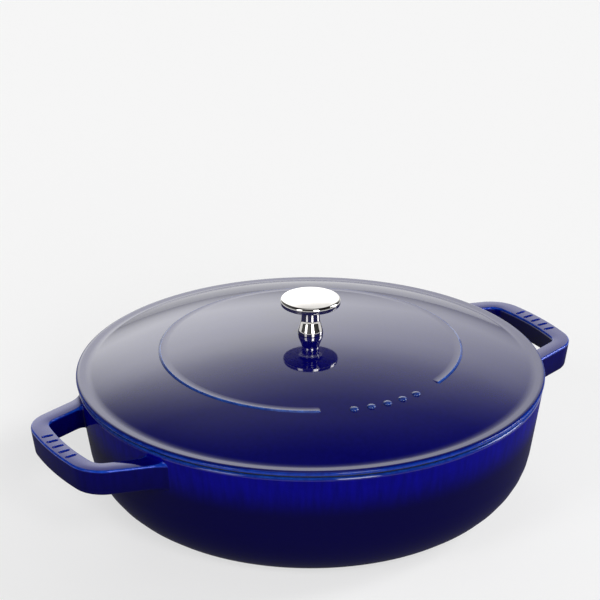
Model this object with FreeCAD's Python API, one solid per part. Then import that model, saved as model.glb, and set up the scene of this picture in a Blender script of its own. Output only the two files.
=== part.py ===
import FreeCAD, Part

import math
import os

from FreeCAD import Vector

# Enamelled cast-iron braiser: a wide shallow pot with two loop handles, a domed lid and a steel
# knob that a screw holds from below. Millimetres, +Z up, origin at the centre of the base, handles
# along X, and the front of the lid (the gap in its raised ring) towards -Y.

# Pot
RIM_RADIUS = 141.2
POT_HEIGHT = 77.0
WALL_TAPER_DEG = 8.4
POT_WALL = 4.5
BASE_CORNER_RADIUS = 41.0
RIM_OUTER_ROUND = 1.6
RIM_INNER_ROUND = 0.8

# Loop handles
HANDLE_STANDOFF = 35.0
HANDLE_BELOW_RIM = 5.2
HANDLE_HEIGHT = 16.7
HANDLE_HALF_SPAN = 39.2
BAR_WIDTH = 11.8
ARM_WIDTH = 11.4
ARM_SPREAD_DEG = 18.0
HANDLE_OUTER_DRAFT_DEG = 8.0
HANDLE_INNER_DRAFT_DEG = 15.0
HANDLE_OUTER_CORNER = 22.0
HANDLE_INNER_CORNER = 8.0
HANDLE_TOP_ROUND = 1.3
HANDLE_BOTTOM_ROUND = 1.6
HANDLE_ROOT_FILLET = 2.6
ROOT_DEPTH = 24.0

# Raised ribs on the top of each handle bar
RIB_COUNT = 5
RIB_PITCH = 7.5
RIB_LENGTH = 7.6
RIB_WIDTH = 2.0
RIB_HEIGHT = 0.7
RIB_SUNK = 0.5

# Lid
LID_OVERHANG = 0.3
LID_EDGE = 2.6
LID_EDGE_GAP = 1.6
LID_EDGE_ROUND = 0.8
LID_SHOULDER_RADIUS = 5.0
LID_SHOULDER_DEG = 38.0
LID_RISE = 21.6
LID_HAUNCH = 97.0
LID_FULLNESS = 0.75
LID_WALL = 4.0
LIP_WIDTH = 7.5
LIP_HOLLOW_RADIUS = 12.0
SEAT_WIDTH = 3.9
FLANGE_DEPTH = 5.0
FLANGE_WIDTH = 4.0
FLANGE_PLAY = 0.8

# Raised ring and pips on the lid's top
RING_RADIUS = 90.4
RING_BEAD_RADIUS = 1.2
RING_BEAD_SHOW = 1.1
RING_GAP_DEG = 51.2
RING_GAP_MIDDLE_DEG = -92.8
PIP_COUNT = 5
PIP_PITCH_DEG = 6.6
PIP_RADIUS = 2.6
PIP_SHOW = 1.2

# Basting pips under the lid: ring radius and count of each ring
DRIP_RINGS = ((45.0, 10), (75.0, 16), (105.0, 22))
DRIP_RADIUS = 3.0
DRIP_SHOW = 2.2

# Knob, its screw and washers
SCREW_RADIUS = 3.0
THREAD_PLAY = 0.05
HOLE_PLAY = 0.3
KNOB_BASE_RADIUS = 7.1
KNOB_BASE_HEIGHT = 1.4
KNOB_BASE_ROUND = 0.6
KNOB_SHOULDER_ROUND = 2.4
KNOB_WAIST_RADIUS = 5.4
KNOB_WAIST_HEIGHT = 5.8
KNOB_WAIST_HOLLOW = 13.0
KNOB_NECK_RADIUS = 5.15
KNOB_CAP_RADIUS = 18.0
KNOB_CAP_UNDER = 19.8
KNOB_CAP_DISH = 0.6
KNOB_CAP_HOLLOW = 3.5
KNOB_CAP_EDGE = 3.0
KNOB_CAP_LOWER_ROUND = 0.8
KNOB_CAP_UPPER_ROUND = 1.6
KNOB_CAP_CROWN = 1.2
KNOB_HOLE_DEPTH = 13.0
SCREW_GRIP = 11.0
BOSS_RADIUS = 9.0
BOSS_DROP = 1.6
WASHER_RADIUS = 6.5
WASHER_THICKNESS = 1.0
SPRING_WASHER_RADIUS = 5.4
SPRING_WASHER_THICKNESS = 1.3
SPRING_WASHER_SLIT = 1.2
SCREW_HEAD_RADIUS = 5.6
SCREW_HEAD_HEIGHT = 3.2
SCREW_HEAD_ROUND = 1.4
SLOT_WIDTH = 1.3
SLOT_DEPTH = 1.7

# Heights and radii that follow from the sizes above
TAPER = math.tan(math.radians(WALL_TAPER_DEG))
WALL_ACROSS = POT_WALL / math.cos(math.radians(WALL_TAPER_DEG))
RIM_INSIDE = RIM_RADIUS - WALL_ACROSS
HANDLE_REACH = RIM_RADIUS + HANDLE_STANDOFF
HANDLE_TOP = POT_HEIGHT - HANDLE_BELOW_RIM
HANDLE_BOTTOM = HANDLE_TOP - HANDLE_HEIGHT
HANDLE_OUTER_LEAN = HANDLE_HEIGHT * math.tan(math.radians(HANDLE_OUTER_DRAFT_DEG))
HANDLE_INNER_LEAN = HANDLE_HEIGHT * math.tan(math.radians(HANDLE_INNER_DRAFT_DEG))
HANDLE_FOOT_WIDTH = min(BAR_WIDTH, ARM_WIDTH) - HANDLE_OUTER_LEAN - HANDLE_INNER_LEAN
LID_RADIUS = RIM_RADIUS + LID_OVERHANG
LID_EDGE_BOTTOM = POT_HEIGHT + LID_EDGE_GAP
LIP_TOP = LID_EDGE_BOTTOM + LID_EDGE
CROWN = LIP_TOP + LID_RISE
DOME_FOOT = LID_RADIUS - LIP_WIDTH
FLANGE_OUT = RIM_INSIDE - FLANGE_DEPTH * TAPER - FLANGE_PLAY
FLANGE_IN = FLANGE_OUT - FLANGE_WIDTH
SEAT_OUT = FLANGE_OUT + SEAT_WIDTH
BOSS_FACE = CROWN - LID_WALL - BOSS_DROP
HOLE_RADIUS = SCREW_RADIUS + HOLE_PLAY

AXIS = Vector(0, 0, 1)
ORIGIN = Vector(0, 0, 0)
NEAR = 1e-3
# Share of a handle's foot that one of its two roundings may take, so that they don't meet at a corner.
FOOT_ROUND_LIMIT = 0.36


def on_plane(point):
    """A point (radius, height) of a turned profile, in the XZ plane."""
    return Vector(point[0], 0, point[1])


def line(a, b):
    """A straight profile edge."""
    return Part.LineSegment(on_plane(a), on_plane(b)).toShape()


def arc(a, b, centre, radius):
    """The shorter profile arc from a to b on a circle, through the middle of its chord's bow."""
    mid = ((a[0] + b[0]) / 2 - centre[0], (a[1] + b[1]) / 2 - centre[1])
    reach = radius / math.hypot(*mid)
    top = (centre[0] + mid[0] * reach, centre[1] + mid[1] * reach)
    return Part.Arc(on_plane(a), on_plane(top), on_plane(b)).toShape()


def turned(edges):
    """The solid that a closed profile sweeps around the Z axis."""
    return Part.Face(Part.Wire(Part.__sortEdges__(edges))).revolve(ORIGIN, AXIS, 360)


def rounded_profile(corners):
    """Edges of a closed polygon of (radius, height, rounding), each corner rounded by a tangent arc."""
    edges = []
    ends = []
    for i, (x, z, rounding) in enumerate(corners):
        before = corners[i - 1]
        after = corners[(i + 1) % len(corners)]
        a = math.atan2(before[1] - z, before[0] - x)
        b = math.atan2(after[1] - z, after[0] - x)
        half = abs(math.remainder(b - a, 2 * math.pi)) / 2
        trim = rounding / math.tan(half)
        start = (x + trim * math.cos(a), z + trim * math.sin(a))
        end = (x + trim * math.cos(b), z + trim * math.sin(b))
        if rounding > 0:
            middle = a + math.remainder(b - a, 2 * math.pi) / 2
            away = rounding / math.sin(half)
            centre = (x + away * math.cos(middle), z + away * math.sin(middle))
            edges.append(arc(start, end, centre, rounding))
        ends.append((start, end))
    for i, (_, end) in enumerate(ends):
        start = ends[(i + 1) % len(ends)][0]
        if math.dist(end, start) > NEAR:
            edges.append(line(end, start))
    return edges


def wall_radius(height):
    """Outer radius of the pot's straight wall at a height."""
    return RIM_RADIUS - (POT_HEIGHT - height) * TAPER


def dome_arcs():
    """The dome's two tangent arcs, as (centre radius, centre height, radius), and the turn where they meet.

    The crown's arc runs to the haunch, where it stands LID_FULLNESS above one plain arc from the crown
    to the dome's foot. The steeper arc goes on from there to the foot.
    """
    plain = (DOME_FOOT**2 + LID_RISE**2) / (2 * LID_RISE)
    drop = plain - math.sqrt(plain**2 - LID_HAUNCH**2) - LID_FULLNESS
    crown_radius = (LID_HAUNCH**2 + drop**2) / (2 * drop)
    turn = math.asin(LID_HAUNCH / crown_radius)
    out = DOME_FOOT - LID_HAUNCH
    down = LID_RISE - drop
    side_radius = (out**2 + down**2) / (2 * (down * math.cos(turn) - out * math.sin(turn)))
    side_centre = (LID_HAUNCH - side_radius * math.sin(turn), CROWN - drop - side_radius * math.cos(turn))
    return (0.0, CROWN - crown_radius, crown_radius), (*side_centre, side_radius), turn


def dome_joint(depth):
    """Where the dome's two arcs meet, or those of the surface that lies depth under it."""
    (_, level, radius), _, turn = dome_arcs()
    return ((radius - depth) * math.sin(turn), level + (radius - depth) * math.cos(turn))


def dome_height(radius, depth=0.0):
    """Height of the lid's dome at a radius, or of the surface that lies depth under it."""
    crown_arc, side_arc, _ = dome_arcs()
    centre, level, size = crown_arc if radius <= dome_joint(depth)[0] else side_arc
    return level + math.sqrt((size - depth) ** 2 - (radius - centre) ** 2)


def pot_body():
    """Pot: flat base, round corner, tapered wall and rounded rim, of even wall thickness."""
    return turned(
        rounded_profile(
            [
                (0, 0, 0),
                (wall_radius(0), 0, BASE_CORNER_RADIUS),
                (RIM_RADIUS, POT_HEIGHT, RIM_OUTER_ROUND),
                (RIM_INSIDE, POT_HEIGHT, RIM_INNER_ROUND),
                (wall_radius(POT_WALL) - WALL_ACROSS, POT_WALL, BASE_CORNER_RADIUS - POT_WALL),
                (0, POT_WALL, 0),
            ]
        )
    )


def pot_envelope():
    """The pot's outside filled solid, which the handles' roots are shaped by."""
    return turned(
        rounded_profile(
            [
                (0, 0, 0),
                (wall_radius(0), 0, BASE_CORNER_RADIUS),
                (RIM_RADIUS, POT_HEIGHT, RIM_OUTER_ROUND),
                (0, POT_HEIGHT, 0),
            ]
        )
    )


def arm_plan(inset, height):
    """Closed plan between the faces of the two spreading arms, inset from their outer edges at the top."""
    spread = math.radians(ARM_SPREAD_DEG)
    outer_corner = math.sqrt(HANDLE_REACH**2 - HANDLE_HALF_SPAN**2)
    points = []
    for x in (RIM_RADIUS - ROOT_DEPTH - inset, HANDLE_REACH + BAR_WIDTH):
        half = HANDLE_HALF_SPAN + (outer_corner - x) * math.tan(spread) - inset / math.cos(spread)
        points.append([Vector(x, side * half, height) for side in (-1, 1)])
    (a, b), (d, c) = points
    return Part.makePolygon([a, b, c, d, a])


def loop_block(reach, inset, lean, corner_rounding):
    """A block of the handle's plan: two arms closed by a bar that is concentric with the pot.

    Its sides lean inwards by lean from its top to its bottom, or outwards where lean is negative.
    """
    plans = [arm_plan(inset + lean, HANDLE_BOTTOM), arm_plan(inset, HANDLE_TOP)]
    cone = Part.makeCone(reach - lean, reach, HANDLE_HEIGHT, Vector(0, 0, HANDLE_BOTTOM))
    block = Part.makeLoft(plans, True, True).common(cone)
    upright = [
        e for e in block.Edges if e.BoundBox.ZLength > HANDLE_HEIGHT / 2 and e.BoundBox.XMin > RIM_RADIUS
    ]
    return block.makeFillet(corner_rounding, upright)


def level_edges(solid, height):
    """Edges of the handle's loop that lie at a height, without those of its hidden root ends."""
    return [
        e
        for e in solid.Edges
        if e.BoundBox.ZLength < NEAR
        and abs(e.BoundBox.ZMin - height) < NEAR
        and e.BoundBox.XMax > RIM_RADIUS - ROOT_DEPTH + NEAR
    ]


def root_edges(solid):
    """Edges where the handle's arms run into the pot's tapered wall."""
    found = []
    for e in solid.Edges:
        box = e.BoundBox
        inside = HANDLE_BOTTOM - NEAR < box.ZMin and box.ZMax < HANDLE_TOP + NEAR
        on_wall = all(abs(math.hypot(v.X, v.Y) - wall_radius(v.Z)) < NEAR for v in e.Vertexes)
        if inside and on_wall and len(e.Vertexes) == 2 and box.XMin > 0:
            found.append(e)
    return found


def grip_ribs():
    """Low round-ended ribs across the top of the handle's bar."""
    middle = HANDLE_REACH - BAR_WIDTH / 2
    half = (RIB_LENGTH - RIB_WIDTH) / 2
    floor = HANDLE_TOP - RIB_SUNK
    tall = RIB_SUNK + RIB_HEIGHT
    ribs = []
    for i in range(RIB_COUNT):
        turn = math.degrees((i - (RIB_COUNT - 1) / 2) * RIB_PITCH / middle)
        box = Part.makeBox(2 * half, RIB_WIDTH, tall, Vector(middle - half, -RIB_WIDTH / 2, floor))
        ends = [
            Part.makeCylinder(RIB_WIDTH / 2, tall, Vector(middle + side * half, 0, floor))
            for side in (-1, 1)
        ]
        rib = box.fuse(ends).removeSplitter()
        rib.rotate(ORIGIN, AXIS, turn)
        ribs.append(rib)
    return ribs


def right_handle(envelope):
    """Loop handle on +X: rounded bar and arms whose roots blend into the pot's wall."""
    outer = loop_block(HANDLE_REACH, 0.0, HANDLE_OUTER_LEAN, HANDLE_OUTER_CORNER)
    inner = loop_block(HANDLE_REACH - BAR_WIDTH, ARM_WIDTH, -HANDLE_INNER_LEAN, HANDLE_INNER_CORNER)
    loop = outer.cut(inner)
    loop = loop.makeFillet(HANDLE_TOP_ROUND, level_edges(loop, HANDLE_TOP))
    foot_round = min(HANDLE_BOTTOM_ROUND, HANDLE_FOOT_WIDTH * FOOT_ROUND_LIMIT)
    loop = loop.makeFillet(foot_round, level_edges(loop, HANDLE_BOTTOM))
    joined = envelope.fuse(loop)
    blended = joined.makeFillet(HANDLE_ROOT_FILLET, root_edges(joined))
    handle = blended.cut(envelope).fuse(grip_ribs())
    return max(handle.Solids, key=lambda s: s.Volume)


def lid_shell():
    """Lid: dome, hollow lip, round-shouldered edge, seat on the pot's rim, locating flange and underside."""
    (_, crown_level, crown_radius), (side_r, side_level, side_radius), _ = dome_arcs()
    tangent_height = LIP_TOP + LIP_HOLLOW_RADIUS
    tangent_reach = side_radius + LIP_HOLLOW_RADIUS
    hollow_r = side_r + math.sqrt(tangent_reach**2 - (tangent_height - side_level) ** 2)
    share = side_radius / tangent_reach
    dome_end = (side_r + (hollow_r - side_r) * share, side_level + (tangent_height - side_level) * share)
    hollow_end = (hollow_r, LIP_TOP)
    flat_end = (KNOB_BASE_RADIUS, dome_height(KNOB_BASE_RADIUS))
    turn = math.radians(LID_SHOULDER_DEG)
    corner_r = LID_RADIUS - LID_EDGE_ROUND
    shoulder_r = corner_r - (LID_SHOULDER_RADIUS - LID_EDGE_ROUND) * math.sin(turn)
    shoulder_level = LIP_TOP - LID_SHOULDER_RADIUS
    corner_level = shoulder_level + (LID_SHOULDER_RADIUS - LID_EDGE_ROUND) * math.cos(turn)
    shoulder_end = (
        shoulder_r + LID_SHOULDER_RADIUS * math.sin(turn),
        shoulder_level + LID_SHOULDER_RADIUS * math.cos(turn),
    )
    edge_side = (LID_RADIUS, corner_level)
    edge_foot = (LID_RADIUS, LID_EDGE_BOTTOM + LID_EDGE_ROUND)
    edge_under = (corner_r, LID_EDGE_BOTTOM)
    flange_foot = POT_HEIGHT - FLANGE_DEPTH
    boss_top = (BOSS_RADIUS, dome_height(BOSS_RADIUS, LID_WALL))
    flange_top = (FLANGE_IN, dome_height(FLANGE_IN, LID_WALL))
    profile = [
        line((HOLE_RADIUS, BOSS_FACE), (HOLE_RADIUS, flat_end[1])),
        line((HOLE_RADIUS, flat_end[1]), flat_end),
        arc(flat_end, dome_joint(0.0), (0, crown_level), crown_radius),
        arc(dome_joint(0.0), dome_end, (side_r, side_level), side_radius),
        arc(dome_end, hollow_end, (hollow_r, tangent_height), LIP_HOLLOW_RADIUS),
        line(hollow_end, (shoulder_r, LIP_TOP)),
        arc((shoulder_r, LIP_TOP), shoulder_end, (shoulder_r, shoulder_level), LID_SHOULDER_RADIUS),
        arc(shoulder_end, edge_side, (corner_r, corner_level), LID_EDGE_ROUND),
        line(edge_side, edge_foot),
        arc(edge_foot, edge_under, (corner_r, edge_foot[1]), LID_EDGE_ROUND),
        line(edge_under, (SEAT_OUT, LID_EDGE_BOTTOM)),
        line((SEAT_OUT, LID_EDGE_BOTTOM), (SEAT_OUT, POT_HEIGHT)),
        line((SEAT_OUT, POT_HEIGHT), (FLANGE_OUT, POT_HEIGHT)),
        line((FLANGE_OUT, POT_HEIGHT), (FLANGE_OUT, flange_foot)),
        line((FLANGE_OUT, flange_foot), (FLANGE_IN, flange_foot)),
        line((FLANGE_IN, flange_foot), flange_top),
        arc(flange_top, dome_joint(LID_WALL), (side_r, side_level), side_radius - LID_WALL),
        arc(dome_joint(LID_WALL), boss_top, (0, crown_level), crown_radius - LID_WALL),
        line(boss_top, (BOSS_RADIUS, BOSS_FACE)),
        line((BOSS_RADIUS, BOSS_FACE), (HOLE_RADIUS, BOSS_FACE)),
    ]
    shell = turned(profile)
    return shell.fuse([*ring_bead(), *front_pips(), *drip_pips()])


def polar(radius, degrees, height):
    """The point at a radius, a bearing about Z and a height."""
    turn = math.radians(degrees)
    return Vector(radius * math.cos(turn), radius * math.sin(turn), height)


def ring_bead():
    """Raised ring on the dome, open towards the front, with round ends."""
    height = dome_height(RING_RADIUS) + RING_BEAD_SHOW - RING_BEAD_RADIUS
    start = RING_GAP_MIDDLE_DEG + RING_GAP_DEG / 2
    section = Part.Face(
        Part.Wire(Part.Circle(Vector(RING_RADIUS, 0, height), Vector(0, 1, 0), RING_BEAD_RADIUS).toShape())
    )
    bead = section.revolve(ORIGIN, AXIS, 360 - RING_GAP_DEG)
    bead.rotate(ORIGIN, AXIS, start)
    ends = [
        Part.makeSphere(RING_BEAD_RADIUS, polar(RING_RADIUS, bearing, height))
        for bearing in (start, start - RING_GAP_DEG)
    ]
    return [bead, *ends]


def front_pips():
    """Round pips in the ring's gap, a plain ornament on its circle."""
    height = dome_height(RING_RADIUS) + PIP_SHOW - PIP_RADIUS
    bearings = [RING_GAP_MIDDLE_DEG + (i - (PIP_COUNT - 1) / 2) * PIP_PITCH_DEG for i in range(PIP_COUNT)]
    return [Part.makeSphere(PIP_RADIUS, polar(RING_RADIUS, b, height)) for b in bearings]


def drip_pips():
    """Basting pips under the lid, in rings that follow its dome and start half a step off the X axis."""
    pips = []
    for radius, count in DRIP_RINGS:
        height = dome_height(radius, LID_WALL) - DRIP_SHOW + DRIP_RADIUS
        for i in range(count):
            pips.append(Part.makeSphere(DRIP_RADIUS, polar(radius, 360 * (i + 1 / 2) / count, height)))
    return pips


def knob():
    """Mushroom knob: flared foot, slim neck and a flat-topped cap, with a blind hole for the screw."""
    foot = dome_height(KNOB_BASE_RADIUS)
    under = foot + KNOB_CAP_UNDER
    rim = under + KNOB_CAP_EDGE
    top = rim + KNOB_CAP_CROWN
    body = turned(
        rounded_profile(
            [
                (0, foot, 0),
                (KNOB_BASE_RADIUS, foot, KNOB_BASE_ROUND),
                (KNOB_BASE_RADIUS, foot + KNOB_BASE_HEIGHT, KNOB_SHOULDER_ROUND),
                (KNOB_WAIST_RADIUS, foot + KNOB_WAIST_HEIGHT, KNOB_WAIST_HOLLOW),
                (KNOB_NECK_RADIUS, under - KNOB_CAP_DISH, KNOB_CAP_HOLLOW),
                (KNOB_CAP_RADIUS, under, KNOB_CAP_LOWER_ROUND),
                (KNOB_CAP_RADIUS, rim, KNOB_CAP_UPPER_ROUND),
                (0, top, 0),
            ]
        )
    )
    hole = Part.makeCylinder(SCREW_RADIUS + THREAD_PLAY, KNOB_HOLE_DEPTH, Vector(0, 0, foot))
    return body.cut(hole)


def ring_plate(inner, outer, bottom, thickness):
    """A flat ring about the Z axis."""
    plate = Part.makeCylinder(outer, thickness, Vector(0, 0, bottom))
    return plate.cut(Part.makeCylinder(inner, thickness, Vector(0, 0, bottom)))


def flat_washer():
    """Flat washer against the boss under the lid."""
    return ring_plate(HOLE_RADIUS, WASHER_RADIUS, BOSS_FACE - WASHER_THICKNESS, WASHER_THICKNESS)


def spring_washer():
    """Split lock washer between the flat washer and the screw's head."""
    bottom = BOSS_FACE - WASHER_THICKNESS - SPRING_WASHER_THICKNESS
    ring = ring_plate(HOLE_RADIUS, SPRING_WASHER_RADIUS, bottom, SPRING_WASHER_THICKNESS)
    slit = Part.makeBox(
        SPRING_WASHER_RADIUS,
        SPRING_WASHER_SLIT,
        SPRING_WASHER_THICKNESS,
        Vector(0, -SPRING_WASHER_SLIT / 2, bottom),
    )
    return ring.cut(slit)


def knob_screw():
    """Slotted pan-head screw from under the lid up into the knob."""
    seat = BOSS_FACE - WASHER_THICKNESS - SPRING_WASHER_THICKNESS
    foot = seat - SCREW_HEAD_HEIGHT
    tip = dome_height(KNOB_BASE_RADIUS) + SCREW_GRIP
    body = turned(
        rounded_profile(
            [
                (0, foot, 0),
                (SCREW_HEAD_RADIUS, foot, SCREW_HEAD_ROUND),
                (SCREW_HEAD_RADIUS, seat, 0),
                (SCREW_RADIUS, seat, 0),
                (SCREW_RADIUS, tip - SCREW_RADIUS / 4, 0),
                (SCREW_RADIUS * 3 / 4, tip, 0),
                (0, tip, 0),
            ]
        )
    )
    slot = Part.makeBox(
        2 * SCREW_HEAD_RADIUS, SLOT_WIDTH, SLOT_DEPTH, Vector(-SCREW_HEAD_RADIUS, -SLOT_WIDTH / 2, foot)
    )
    return body.cut(slot)


def main():
    """Builds every piece and writes one STEP file for each."""
    right = right_handle(pot_envelope())
    left = right.copy()
    left.rotate(ORIGIN, AXIS, 180)
    pieces = {
        "pot_body": pot_body(),
        "right_handle": right,
        "left_handle": left,
        "lid_shell": lid_shell(),
        "knob": knob(),
        "knob_screw": knob_screw(),
        "flat_washer": flat_washer(),
        "spring_washer": spring_washer(),
    }
    os.makedirs("parts", exist_ok=True)
    for name, shape in pieces.items():
        print(name, shape.ShapeType, len(shape.Solids), shape.isValid(), round(shape.Volume))
        shape.exportStep(f"parts/{name}.step")


main()
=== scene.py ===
"""Looks of an enamelled cast-iron braiser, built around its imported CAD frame, in metres."""

import logging
import math
from dataclasses import dataclass, replace
from enum import Enum
from functools import cached_property
from typing import Any, Mapping, Sequence

import bpy
import numpy as np
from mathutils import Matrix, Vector


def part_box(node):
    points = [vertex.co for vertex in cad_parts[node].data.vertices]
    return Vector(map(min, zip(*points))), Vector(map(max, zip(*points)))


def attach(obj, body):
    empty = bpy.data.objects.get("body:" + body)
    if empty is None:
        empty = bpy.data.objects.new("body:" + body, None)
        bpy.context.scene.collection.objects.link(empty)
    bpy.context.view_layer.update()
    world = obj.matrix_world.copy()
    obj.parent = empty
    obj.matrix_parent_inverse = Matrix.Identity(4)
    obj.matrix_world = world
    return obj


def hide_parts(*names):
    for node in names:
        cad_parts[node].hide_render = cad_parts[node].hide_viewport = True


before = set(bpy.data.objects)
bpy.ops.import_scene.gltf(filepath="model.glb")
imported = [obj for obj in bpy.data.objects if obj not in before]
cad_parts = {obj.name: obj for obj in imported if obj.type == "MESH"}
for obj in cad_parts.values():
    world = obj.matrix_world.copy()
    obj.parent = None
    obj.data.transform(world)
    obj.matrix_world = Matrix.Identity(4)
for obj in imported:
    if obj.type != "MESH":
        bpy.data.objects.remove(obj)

LOG = logging.getLogger("braiser")
MM = 0.001
QUARTER = math.pi / 2
FULL_TURN = 2 * math.pi
UP = (0.0, 0.0, 1.0)

Pair = tuple[float, float]
Triple = tuple[float, float, float]
Array = np.ndarray
Lengths = float | Array
Socket = bpy.types.NodeSocket
Feeds = Mapping[str | int, Any]

# How finely surfaces are divided.
TURN_STEPS = 256
KNOB_TURN_STEPS = 160
ARC_STEPS = 10
RUN_STEPS = 10
SHORT_RUN_STEPS = 2
SECTION_STEPS = 7
BAR_STEPS = 24
BEND_STEPS = 16
ARM_STEPS = 28
CROWN_STEPS = 52
HAUNCH_STEPS = 28
HOLLOW_STEPS = 12
EDGE_FOOT_STEPS = 4
UNDER_HAUNCH_STEPS = 20
UNDER_CROWN_STEPS = 32
RING_STEPS = 360
RING_END_STEPS = 8

# The stretch that most of a noise pattern's factor lies in, and the scaled length of a wave pattern's ring.
NOISE_STRETCH = (0.3, 0.7)
WAVE_LENGTH = FULL_TURN / 20.0


class Body(Enum):
    """The CAD bodies that pieces ride on."""

    POT = "pot"
    LID = "lid"


class Slot(Enum):
    """The record's material slots."""

    POT = "pot_enamel"
    HANDLE = "handle_enamel"
    LID = "lid_enamel"
    KNOB = "knob_steel"


class Side(Enum):
    """A handle's side of the pot, as the sign of X that it stands on."""

    LEFT = -1.0
    RIGHT = 1.0


class Ends(Enum):
    """How the first and last row of a grid of points are finished."""

    FAN = "closed by a fan to the row's middle"
    WRAP = "joined to each other"


class Octaves(Enum):
    """How many octaves a noise pattern has."""

    SMOOTH = 1.0
    MOTTLED = 2.0
    CLOUDED = 3.0
    VARIED = 4.0


class Easing(Enum):
    """How a ramp goes from one of its ends to the other."""

    STRAIGHT = "LINEAR"
    SMOOTH = "SMOOTHSTEP"


# Node trees


class NodeSheet:
    """A node tree with short calls that add nodes and feed their inputs."""

    def __init__(self, tree: bpy.types.NodeTree) -> None:
        """Starts from an empty tree."""
        self.tree = tree
        tree.nodes.clear()

    def feed(self, socket: Socket, value: Any) -> None:
        """Links an output to an input, or sets a constant on it.

        Args:
            socket: The input.
            value: An output, a number, or the triple of a vector or colour.
        """
        if isinstance(value, Socket):
            self.tree.links.new(value, socket)
        elif socket.type == "RGBA":
            socket.default_value = (*value, 1.0)
        else:
            socket.default_value = value

    def add(self, kind: str, feeds: Feeds | None = None, **settings: Any) -> bpy.types.Node:
        """Adds a node.

        Args:
            kind: The node's type name without its ShaderNode prefix.
            feeds: What its inputs get, by their names or numbers.
            settings: Attributes of the node, set as they are named.

        Returns:
            The new node.
        """
        node = self.tree.nodes.new("ShaderNode" + kind)
        for name, setting in settings.items():
            setattr(node, name, setting)
        for key, value in (feeds or {}).items():
            self.feed(node.inputs[key], value)
        return node

    def maths(self, operation: str, *terms: Socket | float) -> Socket:
        """Does arithmetic on numbers or outputs, and returns the result's output."""
        return self.add("Math", dict(enumerate(terms)), operation=operation).outputs["Value"]

    def ramp(self, value: Socket, edges: Pair, ends: Pair, easing: Easing = Easing.STRAIGHT) -> Socket:
        """Maps the stretch between two edges of a value to two ends, and returns the result's output."""
        feeds = dict(zip(("Value", "From Min", "From Max", "To Min", "To Max"), (value, *edges, *ends)))
        return self.add("MapRange", feeds, interpolation_type=easing.value).outputs["Result"]

    def along(self, where: Socket, way: Triple, edges: Pair, ends: Pair) -> Socket:
        """Adds a smooth ramp over a place's distance along a unit vector, and returns its output."""
        distance = self.add("VectorMath", {0: where, 1: way}, operation="DOT_PRODUCT")
        return self.ramp(distance.outputs["Value"], edges, ends, Easing.SMOOTH)

    def noise(self, where: Socket, scale: float, octaves: Octaves = Octaves.MOTTLED) -> Socket:
        """Adds a noise texture of some cells per metre, and returns its factor's output."""
        feeds = {"Vector": where, "Scale": scale, "Detail": octaves.value}
        return self.add("TexNoise", feeds).outputs["Fac"]

    def clouds(self, where: Socket, scale: float, ends: Pair, octaves: Octaves = Octaves.MOTTLED) -> Socket:
        """Adds a noise texture that goes from one value to another, and returns its output."""
        return self.ramp(self.noise(where, scale, octaves), NOISE_STRETCH, ends)

    def mix(self, share: Socket, first: Socket | Triple, second: Socket | Triple) -> Socket:
        """Mixes two colours.

        Args:
            share: The second colour's share.
            first: A colour.
            second: Another colour.

        Returns:
            The mixed colour's output.
        """
        node = self.add("Mix", {"Factor": share}, data_type="RGBA")
        colours = [socket for socket in node.inputs if socket.type == "RGBA"]
        self.feed(colours[0], first)
        self.feed(colours[1], second)
        return next(socket for socket in node.outputs if socket.type == "RGBA")

    def bump(self, height: Socket, depth: float, onto: Socket | None = None) -> Socket:
        """Adds a bump.

        Args:
            height: The pattern that it follows.
            depth: Its real depth.
            onto: The normal of another bump that it lies on, or None.

        Returns:
            The output of its normal.
        """
        feeds = {"Height": height, "Distance": depth}
        if onto is not None:
            feeds["Normal"] = onto
        return self.add("Bump", feeds).outputs["Normal"]

    def place(self) -> Socket:
        """Adds the object's own coordinates, and returns their output."""
        return self.add("TexCoord").outputs["Object"]

    def principled(self, **feeds: Any) -> Socket:
        """Adds a Principled shader and returns its output; an underscore in an input's name is a space."""
        inputs = {name.replace("_", " "): value for name, value in feeds.items()}
        return self.add("BsdfPrincipled", inputs).outputs["BSDF"]


# Finishes


@dataclass(frozen=True)
class Finish:
    """A finish, whose kinds each have a shader of their own."""

    name: str

    def shader(self, sheet: NodeSheet) -> Socket:
        """Adds the finish's nodes to a material's sheet, and returns the shader's output."""
        raise NotImplementedError

    def material(self) -> bpy.types.Material:
        """Builds a material of this finish.

        Returns:
            The material.
        """
        material = bpy.data.materials.new(self.name)
        material.use_nodes = True
        sheet = NodeSheet(material.node_tree)
        sheet.add("OutputMaterial", {"Surface": self.shader(sheet)})
        return material


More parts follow.
